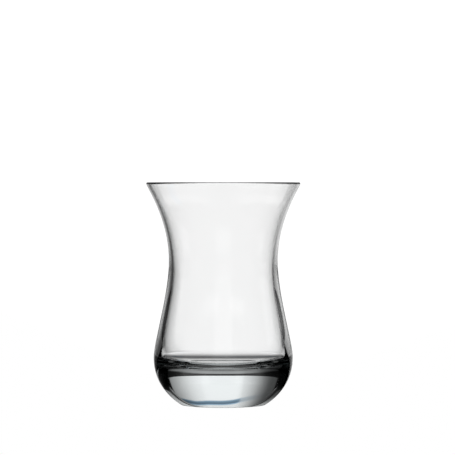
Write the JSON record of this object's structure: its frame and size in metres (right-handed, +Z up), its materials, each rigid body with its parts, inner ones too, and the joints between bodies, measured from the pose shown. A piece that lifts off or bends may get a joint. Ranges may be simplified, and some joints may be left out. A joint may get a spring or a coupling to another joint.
{
  "type": "turkish tea glass",
  "caption": "Clear tulip-waisted tea glass with a flared thin rim, round belly and heavy solid base.",
  "frame": {"origin": "centre of the foot, on the surface that the glass stands on", "axes": "+Z up along the glass's axis of revolution, towards the rim; X and Y are alike"},
  "size_m": [0.0596, 0.0596, 0.086],
  "materials": {
    "clear_glass": "clear soda-lime glass, moulded and fire polished"
  },
  "bodies": {
    "root": {"glass": "clear_glass"}
  },
  "joints": []
}
